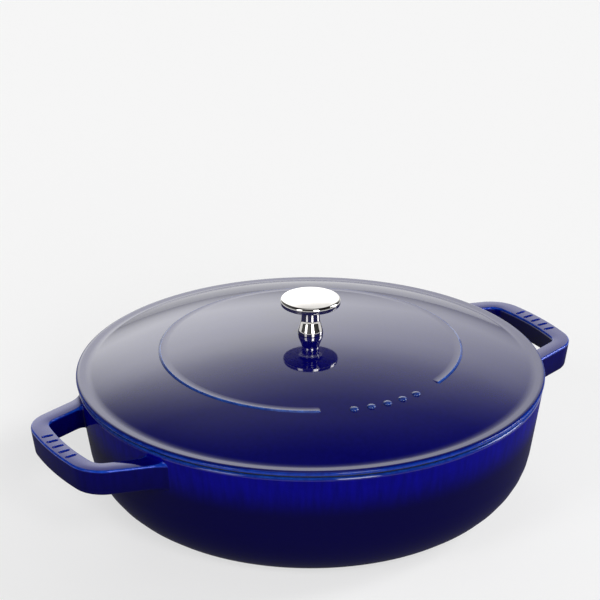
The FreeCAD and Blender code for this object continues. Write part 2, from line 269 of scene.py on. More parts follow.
@dataclass(frozen=True)
class GlossEnamel(Finish):
    """Glassy coloured enamel: lighter where it thins over an edge, and darker towards the bottom as painted
    shade.
    """

    deep: Triple
    rich: Triple
    painted_shade: Triple = (0.0009, 0.0003, 0.035)
    thin: Triple = (0.006, 0.055, 0.440)
    shade_levels: Pair = (49 * MM, 70 * MM)
    normal_tint: Triple = (1.0, 1.0, 1.0)
    ior: float = 1.52
    specular: float = 0.5
    coat: float = 0.0
    coat_gloss: float = 0.045
    run_scale: float = 330.0
    run_stretch: float = 0.04
    bead_scale: float = 330.0
    beads: Pair = (0.45, 1.0)
    gloss_scale: float = 45.0
    gloss: Pair = (0.035, 0.07)
    ripple: float = 0.020 * MM
    ripple_scale: float = 70.0
    grain: float = 0.0035 * MM
    grain_scale: float = 900.0

    def shader(self, sheet: NodeSheet) -> Socket:
        """Streaked colour, darkened towards the bottom as painted shade and lightened by the pieces' thin
        attribute, under a rippled gloss.

        Args:
            sheet: The material's sheet.

        Returns:
            The shader's output.
        """
        place = sheet.place()
        runs = sheet.add("Mapping", {"Vector": place, "Scale": (1.0, 1.0, self.run_stretch)})
        streaks = sheet.clouds(runs.outputs["Vector"], self.run_scale, (0.0, 1.0), Octaves.CLOUDED)
        # Painted shade: below a level, the colour darkens towards the bottom.
        unshaded_share = sheet.along(place, UP, self.shade_levels, (0.0, 1.0))
        body = sheet.mix(unshaded_share, self.painted_shade, sheet.mix(streaks, self.deep, self.rich))
        glaze = sheet.add("Attribute", attribute_name="thin").outputs["Fac"]
        bare = sheet.maths("MULTIPLY", glaze, sheet.clouds(place, self.bead_scale, self.beads))
        ripple = sheet.bump(sheet.noise(place, self.ripple_scale, Octaves.SMOOTH), self.ripple)
        grain = sheet.bump(sheet.noise(place, self.grain_scale), self.grain, ripple)
        return sheet.principled(
            Base_Color=sheet.mix(bare, body, self.thin),
            Roughness=sheet.clouds(place, self.gloss_scale, self.gloss),
            Normal=grain,
            IOR=self.ior,
            Specular_IOR_Level=self.specular,
            Specular_Tint=self.normal_tint,
            Coat_Weight=self.coat,
            Coat_Roughness=self.coat_gloss,
            Coat_Normal=grain,
        )


@dataclass(frozen=True)
class MattEnamel(Finish):
    """Black enamel of the cooking surfaces: matt, with a fine pebbled grain."""

    dark: Triple = (0.007, 0.007, 0.008)
    pale: Triple = (0.018, 0.018, 0.020)
    cloud_scale: float = 30.0
    gloss: Pair = (0.38, 0.52)
    gloss_scale: float = 80.0
    grain: float = 0.05 * MM
    grain_scale: float = 700.0

    def shader(self, sheet: NodeSheet) -> Socket:
        """Clouded black with a bump of fine pebbles.

        Args:
            sheet: The material's sheet.

        Returns:
            The shader's output.
        """
        place = sheet.place()
        cloud = sheet.clouds(place, self.cloud_scale, (0.0, 1.0), Octaves.VARIED)
        return sheet.principled(
            Base_Color=sheet.mix(cloud, self.dark, self.pale),
            Roughness=sheet.clouds(place, self.gloss_scale, self.gloss),
            Normal=sheet.bump(sheet.noise(place, self.grain_scale), self.grain),
        )


@dataclass(frozen=True)
class TurnedMetal(Finish):
    """Bright metal turned on a lathe: rings of fine tool marks about Z, and faint clouding."""

    dull: Triple
    bright: Triple
    gloss: Pair
    mark_depth: float
    mark_pitch: float = 0.45 * MM
    mark_wobble: float = 1.5
    cloud_scale: float = 120.0
    gloss_scale: float = 260.0

    def shader(self, sheet: NodeSheet) -> Socket:
        """Clouded metal with a bump of rings about Z.

        Args:
            sheet: The material's sheet.

        Returns:
            The shader's output.
        """
        place = sheet.place()
        cloud = sheet.clouds(place, self.cloud_scale, (0.0, 1.0), Octaves.CLOUDED)
        wave = {"Vector": place, "Scale": WAVE_LENGTH / self.mark_pitch, "Distortion": self.mark_wobble}
        marks = sheet.add("TexWave", wave, wave_type="RINGS", rings_direction="Z")
        return sheet.principled(
            Base_Color=sheet.mix(cloud, self.dull, self.bright),
            Metallic=1.0,
            Roughness=sheet.clouds(place, self.gloss_scale, self.gloss, Octaves.CLOUDED),
            Normal=sheet.bump(marks.outputs["Fac"], self.mark_depth),
        )


@dataclass(frozen=True)
class PaleFloor(Finish):
    """Matt pale paper that the object stands on, partly lit from within where it is seen or mirrored."""

    name: str = "floor_paper"
    colour: Triple = (0.93, 0.93, 0.93)
    white: float = 0.6

    def shader(self, sheet: NodeSheet) -> Socket:
        """Paper, mixed with a share of plain white for camera, glossy and transmission rays.

        Args:
            sheet: The material's sheet.

        Returns:
            The shader's output.
        """
        paper = sheet.principled(Base_Color=self.colour, Roughness=1.0, Specular_IOR_Level=0.0)
        rays = sheet.add("LightPath").outputs
        mirrored = sheet.maths("MAXIMUM", rays["Is Glossy Ray"], rays["Is Transmission Ray"])
        seen = sheet.maths("MAXIMUM", rays["Is Camera Ray"], mirrored)
        share = sheet.maths("MULTIPLY", seen, self.white)
        white = sheet.add("Emission").outputs["Emission"]
        return sheet.add("MixShader", {"Fac": share, 1: paper, 2: white}).outputs["Shader"]


BLUE_POT = GlossEnamel(
    "blue_enamel_pot", (0.0008, 0.0004, 0.120), (0.0014, 0.0007, 0.185), specular=0.0, coat=0.08
)
BLUE_RIM = replace(BLUE_POT, name="blue_enamel_rim", thin=(0.010, 0.055, 0.320), coat=0.8)
BLUE_HANDLE = GlossEnamel(
    "blue_enamel_handle", (0.0012, 0.0006, 0.112), (0.0016, 0.0008, 0.136), normal_tint=(0.35, 0.38, 1.0)
)
# Painted shade: the handles' sides and underside, in a darker copy of the top's blue and without its gloss.
BLUE_HANDLE_SIDE_SHADED = GlossEnamel(
    "blue_enamel_handle_side_painted_shade", (0.0006, 0.0003, 0.056), (0.0010, 0.0005, 0.076), specular=0.0, coat=0.08
)
# Painted shade: the lid's blue is darker than the pot's for its upward faces, and the edge and ring copies
# keep that darker blue.
BLUE_LID_SHADED = GlossEnamel("blue_enamel_lid_painted_shade", (0.0012, 0.0010, 0.088), (0.0018, 0.0014, 0.107))
BLUE_EDGE = replace(BLUE_LID_SHADED, name="blue_enamel_edge", thin=(0.003, 0.034, 0.300), specular=0.0, coat=0.5)
# The ring's lighter thin colour is partly glaze thinned over its crest and partly a painted highlight; the
# front pips share it.
BLUE_RING_GLAZE_AND_HIGHLIGHT = replace(BLUE_LID_SHADED, name="blue_enamel_ring_glaze_and_highlight", thin=(0.030, 0.100, 0.420))
BLACK = MattEnamel("black_enamel")
NICKEL = TurnedMetal("polished_nickel", (0.66, 0.64, 0.61), (0.78, 0.76, 0.73), (0.05, 0.10), 0.0006 * MM)
STEEL = TurnedMetal("plain_steel", (0.46, 0.46, 0.46), (0.58, 0.58, 0.58), (0.24, 0.36), 0.004 * MM)


# Outlines and surfaces


def spaced(count: int) -> Array:
    """Shares from 0 to 1 that crowd towards both ends, as the height of a half circle's even steps does."""
    return (1 - np.cos(np.linspace(0, math.pi, count))) / 2


def run(start: Sequence[float], end: Sequence[float], count: int = RUN_STEPS) -> Array:
    """Points on a straight run, crowded towards its ends and without its last point."""
    a, b = np.asarray(start, float), np.asarray(end, float)
    return a + (b - a) * spaced(count + 1)[:-1, None]


def bow(
    centre: Sequence[float], radius: float, first: float, last: float, count: int = ARC_STEPS
) -> Array:
    """Points on a circle from one bearing to another, in radians, without the last point."""
    turn = np.linspace(first, last, count + 1)[:-1, None]
    return np.asarray(centre, float) + radius * np.hstack([np.cos(turn), np.sin(turn)])


def unit(vector: Array) -> Array:
    """A vector's direction, with a length of 1."""
    return vector / np.linalg.norm(vector)


def rounded_outline(corners: Sequence[Triple]) -> Array:
    """Outline of straight runs with round corners: each corner's arc touches both of its runs.

    Args:
        corners: (radius, height, rounding) of each corner; the first and last are the outline's sharp ends.

    Returns:
        The outline's points, as rows of (radius, height).
    """
    table = np.array(corners, float)
    points, rounding = table[:, :2], table[:, 2]
    stretches = []
    reached = points[0]
    for before, point, after, size in zip(points, points[1:], points[2:], rounding[1:]):
        back, ahead = unit(before - point), unit(after - point)
        half = math.acos(np.clip(back @ ahead, -1, 1)) / 2
        start, end = (point + way * size / math.tan(half) for way in (back, ahead))
        centre = point + unit(back + ahead) * size / math.sin(half)
        first, last = (math.atan2(*(place - centre)[::-1]) for place in (start, end))
        sweep = math.remainder(last - first, FULL_TURN)
        stretches += [run(reached, start), bow(centre, size, first, first + sweep)]
        reached = end
    return np.vstack([*stretches, run(reached, points[-1]), points[-1:]])


def turned_points(outline: Array, steps: int = TURN_STEPS) -> Array:
    """Carries an outline around the Z axis.

    Args:
        outline: Rows of (radius, height).
        steps: Steps around.

    Returns:
        A grid with one row for each of the outline's points.
    """
    turn = np.linspace(0, FULL_TURN, steps, endpoint=False)
    radius, height = outline[:, :1], outline[:, 1:]
    return np.stack([radius * np.cos(turn), radius * np.sin(turn), height + 0 * turn], axis=-1)


def pebble_points(half_sizes: Triple, powers: Pair, steps: tuple[int, int]) -> Array:
    """Grid of a closed pebble: a sphere whose sines and cosines are raised to a power.

    Args:
        half_sizes: Half its length, width and height.
        powers: Powers of its plan and its upright outline, 1 for an ellipse and less for a squarer one.
        steps: Rows from pole to pole, and steps around.

    Returns:
        The grid of points around the origin.
    """

    def power(values: Array, exponent: float) -> Array:
        """Raises values to a power and keeps their signs."""
        return np.sign(values) * np.abs(values) ** exponent

    plan, rise = powers
    tilt = np.linspace(-QUARTER, QUARTER, steps[0] + 2)[1:-1, None]
    turn = np.linspace(0, FULL_TURN, steps[1], endpoint=False)[None, :]
    across = power(np.cos(tilt), rise)
    x, y = across * power(np.cos(turn), plan), across * power(np.sin(turn), plan)
    return np.stack([x, y, power(np.sin(tilt), rise) + 0 * turn], axis=-1) * np.array(half_sizes)


def turned_about_z(points: Array, turn: float) -> Array:
    """A grid of points turned about the Z axis by an angle in radians."""
    c, s = math.cos(turn), math.sin(turn)
    return points @ np.array([[c, s, 0], [-s, c, 0], [0, 0, 1]])


def even_turns(count: int, pitch: float) -> Array:
    """Angles at equal steps, with their middle at 0."""
    return (np.arange(count) - (count - 1) / 2) * pitch


def grid_faces(rows: int, columns: int, ends: Ends) -> tuple[Array, Array]:
    """Faces of a grid whose columns close on themselves.

    Args:
        rows: Its rows.
        columns: Its columns.
        ends: How its first and last rows are finished.

    Returns:
        Quads, and the end fans' triangles, as vertex numbers; the fans' middles follow the grid's vertices.
    """
    index = np.arange(rows * columns).reshape(rows, columns)
    lower = index if ends is Ends.WRAP else index[:-1]
    upper = np.roll(index, -1, axis=0) if ends is Ends.WRAP else index[1:]
    quads = np.stack([lower, np.roll(lower, -1, 1), np.roll(upper, -1, 1), upper], axis=-1).reshape(-1, 4)
    if ends is Ends.WRAP:
        return quads, np.empty((0, 3), int)
    first, last = index[0], index[-1]
    foot = np.full(columns, rows * columns)
    fans = [
        np.stack([np.roll(first, -1), first, foot], axis=-1),
        np.stack([last, np.roll(last, -1), foot + 1], axis=-1),
    ]
    return quads, np.vstack(fans)


def enclosed(vertices: Array, triangles: Array) -> float:
    """Signed volume of a closed surface: a sixth of the summed triple products of its triangles."""
    a, b, c = (vertices[triangles[:, i]] for i in range(3))
    return float(np.einsum("ij,ij->i", a, np.cross(b, c)).sum() / 6)


@dataclass
class Shape:
    """Vertices, faces and per-vertex glaze thinness of a piece that is being put together."""

    vertices: Array
    quads: Array
    triangles: Array
    thin: Array

    @classmethod
    def from_grid(cls, points: Array, ends: Ends, thin: Lengths = 0.0) -> "Shape":
        """Makes a closed shape of a grid of points, with its faces outwards.

        Args:
            points: Rows by columns by three; the columns close on themselves.
            ends: How the first and last rows are finished.
            thin: Thinness of the glaze at each point, or one value for all.

        Returns:
            The shape.
        """
        rows, columns = points.shape[:2]
        quads, triangles = grid_faces(rows, columns, ends)
        vertices = points.reshape(-1, 3)
        glaze = np.broadcast_to(thin, (rows, columns)).reshape(-1).astype(float)
        if ends is Ends.FAN:
            vertices = np.vstack([vertices, points[0].mean(0), points[-1].mean(0)])
            glaze = np.append(glaze, [glaze[0], glaze[-1]])
        halves = np.vstack([quads[:, [0, 1, 2]], quads[:, [0, 2, 3]], triangles])
        if enclosed(vertices, halves) < 0:
            quads, triangles = quads[:, ::-1], triangles[:, ::-1]
        return cls(vertices, quads, triangles, glaze)

    @classmethod
    def repeated(cls, points: Array, turns: Sequence[float], thin: float = 0.0) -> "Shape":
        """Puts the closed shape of a grid, with fans at its ends, at several turns about the Z axis."""
        return cls.joined([cls.from_grid(turned_about_z(points, turn), Ends.FAN, thin) for turn in turns])

    @classmethod
    def joined(cls, shapes: Sequence["Shape"]) -> "Shape":
        """Puts several shapes into one, with each one's face numbers moved past the vertices before it.

        Args:
            shapes: The shapes.

        Returns:
            The shape that holds them all.
        """
        starts = np.cumsum([0, *(len(shape.vertices) for shape in shapes)])
        return cls(
            np.vstack([shape.vertices for shape in shapes]),
            np.vstack([shape.quads + start for shape, start in zip(shapes, starts)]),
            np.vstack([shape.triangles + start for shape, start in zip(shapes, starts)]),
            np.concatenate([shape.thin for shape in shapes]),
        )

    def place(
        self,
        name: str,
        finishes: Sequence[Finish],
        body: Body,
        slot: Slot,
        *nodes: str,
        choice: Array | None = None,
    ) -> None:
        """slot: Its material slot; not used.
            nodes: The CAD nodes that it replaces.
            choice: The number of each quad's finish, or None where there is only one.
        """
        mesh = bpy.data.meshes.new(name)
        mesh.from_pydata(self.vertices, [], [*self.quads.tolist(), *self.triangles.tolist()])
        mesh.attributes.new("thin", "FLOAT", "POINT").data.foreach_set("value", self.thin)
        mesh.polygons.foreach_set("use_smooth", np.ones(len(mesh.polygons), bool))
        for finish in finishes:
            mesh.materials.append(finish.material())
        if choice is not None:
            numbers = np.full(len(mesh.polygons), choice[-1], np.int32)
            numbers[: len(choice)] = choice
            mesh.polygons.foreach_set("material_index", numbers)
        mesh.update()
        piece = bpy.data.objects.new(name, mesh)
        bpy.context.collection.objects.link(piece)
        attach(piece, body.value)
        if nodes:
            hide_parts(*nodes)
        LOG.info("%s: %d faces, rides on %s", name, len(mesh.polygons), body.value)


def node_size(node: str) -> Triple:
    """Half the width of a CAD node along X, and its lowest and highest level."""
    low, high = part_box(node)
    return (high.x - low.x) / 2, low.z, high.z


# Pot


@dataclass
class Pot:
    """The pot's casting: flat base, round corner, tapered wall and rounded rim."""

    rim_radius: float
    height: float
    wall: float = 4.5 * MM
    taper: float = math.radians(8.4)
    base_corner: float = 41 * MM
    rim_outer_round: float = 1.6 * MM
    rim_inner_round: float = 0.8 * MM
    edge_fade: float = 0.95 * MM
    edge_fade_power: int = 4
    rim_gloss: float = 2.6 * MM
    level_play: float = 0.01 * MM
    middle: float = 0.4 * MM

    @classmethod
    def from_frame(cls) -> "Pot":
        """Takes the rim and the height from the frame."""
        half, _, top = node_size("pot_body")
        return cls(half, top)

    def wall_radius(self, height: Lengths) -> Lengths:
        """Outer radius of the straight wall at a height, which falls by the taper's tangent."""
        return self.rim_radius - (self.height - height) * math.tan(self.taper)

    def inner_radius(self, height: Lengths) -> Lengths:
        """Inner radius of the straight wall at a height."""
        return self.wall_radius(height) - self.wall / math.cos(self.taper)

    def outline(self) -> Array:
        """Outline from the middle of the base, up the outside, over the rim and down the inside.

        Returns:
            Its points, as rows of (radius, height).
        """
        return rounded_outline(
            [
                (self.middle, 0, 0),
                (self.wall_radius(0), 0, self.base_corner),
                (self.rim_radius, self.height, self.rim_outer_round),
                (self.inner_radius(self.height), self.height, self.rim_inner_round),
                (self.inner_radius(self.wall), self.wall, self.base_corner - self.wall),
                (self.middle, self.wall, 0),
            ]
        )

    def build(self) -> None:
        """Turns the outline, blue outside and black inside, with thin glaze over the rim's edge."""
        outline = self.outline()
        below = self.height - outline[:, 1]
        rim_row = int(np.flatnonzero(below < self.level_play)[0])
        outside = np.arange(len(outline)) <= rim_row
        thin = np.exp(-((below / self.edge_fade) ** self.edge_fade_power)) * outside
        shape = Shape.from_grid(turned_points(outline), Ends.FAN, thin[:, None])
        enamels = (BLUE_POT, BLUE_RIM, BLACK)
        wall, rim, inside = range(len(enamels))
        finish = np.where(below[:-1] < self.rim_gloss, rim, wall)
        finish[rim_row:] = inside
        choice = np.repeat(finish, TURN_STEPS)
        shape.place("pot_casting", enamels, Body.POT, Slot.POT, "pot_body", choice=choice)


# Handles


@dataclass(frozen=True)
class BarSection:
    """Points around a handle's section.

    Each has a fixed distance from the inner edge, across, and a share of the width on top of that, a level
    above the section's foot, an outward normal, and a thinness of its glaze.
    """

    across: Array
    share: Array
    level: Array
    normal: Array
    thin: Array


@dataclass
class LoopHandle:
    """A loop handle: two arms that spread from the wall, and a bar that is concentric with the pot."""

    side: Side
    pot: Pot
    reach: float
    top: float
    below_rim: float = 5.2 * MM
    height: float = 16.7 * MM
    half_span: float = 39.2 * MM
    bar_width: float = 11.8 * MM
    arm_width: float = 11.4 * MM
    spread: float = math.radians(18)
    outer_draft: float = math.radians(8)
    inner_draft: float = math.radians(15)
    outer_corner: float = 22 * MM
    inner_corner: float = 8 * MM
    top_round: float = 1.3 * MM
    bottom_round: float = 1.6 * MM
    root_fillet: float = 2.5 * MM
    root_run: float = 8 * MM
    sunk: float = 0.4 * MM
    crown: float = 0.22 * MM
    rib_count: int = 5
    rib_pitch: float = 7.5 * MM
    rib_half: Triple = (3.8 * MM, 1.0 * MM, 1.2 * MM)
    rib_powers: Pair = (0.55, 0.7)
    rib_grid: tuple[int, int] = (18, 40)
    rib_show: float = 0.7 * MM
    rib_thin: float = 0.35

    @classmethod
    def from_frame(cls, side: Side, pot: Pot) -> "LoopHandle":
        """Takes the reach from the frame, whose widest place lies a top rounding below the bar's top.

        Args:
            side: The handle's side.
            pot: The pot that it stands on.

        Returns:
            The handle.
        """
        low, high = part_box(f"{side.name.lower()}_handle")
        reach = max(abs(low.x), abs(high.x)) + cls.top_round * math.tan(cls.outer_draft)
        return cls(side, pot, reach, pot.height - cls.below_rim)

    @property
    def towards(self) -> Array:
        """Direction of the +Y arm to the pot, in plan."""
        return np.array([-math.cos(self.spread), math.sin(self.spread)])

    @property
    def inward(self) -> Array:
        """Normal of the +Y arm's outer edge into the loop, in plan."""
        return np.array([-math.sin(self.spread), -math.cos(self.spread)])

    def edge(self, reach: float, inset: float, corner: float) -> Array:
        """Half of the loop's inner or outer edge in plan, from the bar's middle to the start of the +Y arm.

        The corner's circle touches the bar's circle from inside and the arm's line, so its middle lies a
        corner radius inside both.

        Args:
            reach: Radius of the bar's edge about the Z axis.
            inset: Distance of the arm's edge inside the outer one.
            corner: Radius of the corner.

        Returns:
            The edge's points, which end where the arm starts.
        """
        outermost = np.array([math.sqrt(self.reach**2 - self.half_span**2), self.half_span])
        near = outermost + (inset + corner) * self.inward
        along = near @ self.towards
        step = -along - math.sqrt(along**2 - near @ near + (reach - corner) ** 2)
        centre = near + step * self.towards
        bar_end = math.atan2(centre[1], centre[0])
        arm_start = math.atan2(-self.inward[1], -self.inward[0])
        bar = bow((0, 0), reach, 0, bar_end, BAR_STEPS)
        bend = bow(centre, corner, bar_end, arm_start, BEND_STEPS)
        return np.vstack([bar, bend, centre - corner * self.inward])

    @cached_property
    def section(self) -> BarSection:
        """The bar's section: round corners, a faintly crowned top, and sides that lean in downwards.

        Each corner is a quarter circle, from the outer top one by way of the inner top one, and a straight
        stretch goes on from its last point to the next corner's first one.

        Returns:
            The section's points.
        """
        quarter = np.linspace(0, QUARTER, ARC_STEPS)
        flat = spaced(SECTION_STEPS + 2)[1:-1, None]
        corners = []
        for i, (outer, upper) in enumerate(((True, True), (False, True), (False, False), (True, False))):
            size = self.top_round if upper else self.bottom_round
            x, z = np.cos(quarter + i * QUARTER), np.sin(quarter + i * QUARTER)
            across = size * (x - 1 if outer else x + 1)
            level = size * z + (self.height - size if upper else size)
            thin = upper * np.sin(2 * quarter) ** 0.5
            corners.append(np.stack([across, 0 * x + outer, level, x, z, thin], axis=-1))
        stretches = []
        for corner, following in zip(corners, [*corners[1:], corners[0]]):
            stretches += [corner, corner[-1] + (following[0] - corner[-1]) * flat]
        stretches[1][:, 2] += self.crown * np.sin(math.pi * flat[:, 0])
        points = np.vstack(stretches)
        across, share, level = points[:, :3].T
        lean = math.tan(self.inner_draft) * (1 - share) - math.tan(self.outer_draft) * share
        return BarSection(across + (self.height - level) * lean, share, level, points[:, 3:5], points[:, 5])

    def wall_distance(self, points: Array) -> Array:
        """Distance from points, along the arm, to the pot's wall at their level, a little under its skin.

        Args:
            points: Rows of (x, y, z).

        Returns:
            The distance of each.
        """
        radius = self.pot.wall_radius(points[:, 2]) - self.sunk
        plan = points[:, :2]
        along = plan @ self.towards
        return -along - np.sqrt(along**2 - (plan**2).sum(-1) + radius**2)

    def bar(self) -> Array:
        """Grid of the bar's +Y half with its corner: the section carried along between the two edges.

        Returns:
            Rows along the bar by points around its section by three.
        """
        outer = self.edge(self.reach, 0.0, self.outer_corner)[:, None]
        inner = self.edge(self.reach - self.bar_width, self.arm_width, self.inner_corner)[:, None]
        width = np.linalg.norm(outer - inner, axis=-1)
        place = (self.section.across + self.section.share * width) / width
        plan = inner + (outer - inner) * place[..., None]
        level = np.broadcast_to(self.top - self.height + self.section.level, place.shape)
        return np.concatenate([plan, level[..., None]], axis=-1)

    def arm(self, start: Array) -> Array:
        """Grid of the +Y arm, whose root flares as a quarter ellipse, root_run long and root_fillet wide.

        Args:
            start: The points around the section where the arm starts.

        Returns:
            Rows along the arm by points around its section by three.
        """
        normal = self.section.normal
        outward = np.hstack([-self.inward * normal[:, :1], normal[:, 1:]]) * self.root_fillet
        length = self.wall_distance(start)
        flared_length = self.wall_distance(start + outward)
        step = np.sin(np.linspace(0, QUARTER, ARM_STEPS + 1)[1:, None])
        gone = np.clip(1 - (1 - step) * length / self.root_run, 0, None)
        flare = 1 - np.sqrt(1 - gone**2)
        along = step * length + (flared_length - length) * flare
        return start + along[..., None] * np.append(self.towards, 0.0) + flare[..., None] * outward

    def loop_shape(self) -> Shape:
        """The whole loop: the half and its mirror image across the bar's middle.

        Returns:
            The loop on its own side of the pot.
        """
        bar = self.bar()
        half = np.vstack([bar, self.arm(bar[-1])])
        mirrored = half[:0:-1] * np.array([1.0, -1.0, 1.0])
        turned = np.array([self.side.value, self.side.value, 1.0])
        return Shape.from_grid(np.vstack([mirrored, half]) * turned, Ends.FAN, self.section.thin[None, :])

    def rib_shape(self) -> Shape:
        """Low ribs across the bar's top: long pebbles sunk into it, at equal steps along the bar.

        Returns:
            All ribs in one shape.
        """
        middle = self.reach - self.bar_width / 2
        level = self.top + self.crown + self.rib_show - self.rib_half[2]
        rib = pebble_points(self.rib_half, self.rib_powers, self.rib_grid) + np.array([middle, 0, level])
        facing = math.pi if self.side is Side.LEFT else 0.0
        turns = even_turns(self.rib_count, self.rib_pitch / middle) + facing
        return Shape.repeated(rib, turns, self.rib_thin)

    def build(self) -> None:
        """Makes the loop, whose section starts with its glossier top, and the ribs; the sides and underside
        take a darker copy of the enamel as painted shade.
        """
        name = self.side.name.lower()
        shape = self.loop_shape()
        enamels = (BLUE_HANDLE, BLUE_HANDLE_SIDE_SHADED)
        top, rest = range(len(enamels))
        place_around = np.arange(len(shape.quads)) % len(self.section.level)
        choice = np.where(place_around < 2 * ARC_STEPS + SECTION_STEPS, top, rest)
        shape.place(f"{name}_loop", enamels, Body.POT, Slot.HANDLE, f"{name}_handle", choice=choice)
        self.rib_shape().place(f"{name}_grip_ribs", [BLUE_HANDLE], Body.POT, Slot.HANDLE)


# Lid


@dataclass(frozen=True)
class Dome:
    """The lid's dome in section: a flatter arc about the crown, and a steeper one from the haunch on."""

    crown: float
    foot: float
    rise: float
    haunch: float = 97.0 * MM
    fullness: float = 0.75 * MM

    @property
    def drop(self) -> float:
        """How far the haunch lies under the crown: a fullness less than on one arc from crown to foot."""
        plain = (self.foot**2 + self.rise**2) / (2 * self.rise)
        return plain - math.sqrt(plain**2 - self.haunch**2) - self.fullness

    @property
    def crown_radius(self) -> float:
        """Radius of the arc through the crown and the haunch."""
        return (self.haunch**2 + self.drop**2) / (2 * self.drop)

    @property
    def turn(self) -> float:
        """Slope of both arcs at the haunch."""
        return math.asin(self.haunch / self.crown_radius)

    @property
    def side_radius(self) -> float:
        """Radius of the arc that leaves the haunch at its slope and ends at the foot."""
        out, down = self.foot - self.haunch, self.rise - self.drop
        return (out**2 + down**2) / (2 * (down * math.cos(self.turn) - out * math.sin(self.turn)))

    @property
    def crown_centre(self) -> Pair:
        """Middle of the crown's arc."""
        return 0.0, self.crown - self.crown_radius

    @property
    def side_centre(self) -> Pair:
        """Middle of the side's arc, which lies on the line from the haunch to the crown arc's middle."""
        size, turn = self.side_radius, self.turn
        return self.haunch - size * math.sin(turn), self.crown - self.drop - size * math.cos(turn)

    def level(self, radius: Lengths, depth: float = 0.0) -> Array:
        """Level of the dome at a radius, or of the surface that lies some depth under it.

        Args:
            radius: The radius.
            depth: The depth.

        Returns:
            The level on the crown's arc inside the haunch, and on the side's arc outside it.
        """
        levels = []
        for (middle, low), size in (
            (self.crown_centre, self.crown_radius - depth),
            (self.side_centre, self.side_radius - depth),
        ):
            levels.append(low + np.sqrt(size**2 - (radius - middle) ** 2))
        return np.where(radius <= (self.crown_radius - depth) * math.sin(self.turn), *levels)

    def crown_stretch(self, inner: float, depth: float = 0.0) -> tuple[Pair, float, float, float]:
        """The crown's arc at some depth, as bow takes it, from an inner radius to the haunch."""
        size = self.crown_radius - depth
        return self.crown_centre, size, math.acos(inner / size), QUARTER - self.turn

    def side_stretch(self, outer: float, depth: float = 0.0) -> tuple[Pair, float, float, float]:
        """The side's arc at some depth, as bow takes it, from the haunch to an outer radius."""
        size = self.side_radius - depth
        return self.side_centre, size, QUARTER - self.turn, math.acos((outer - self.side_centre[0]) / size)


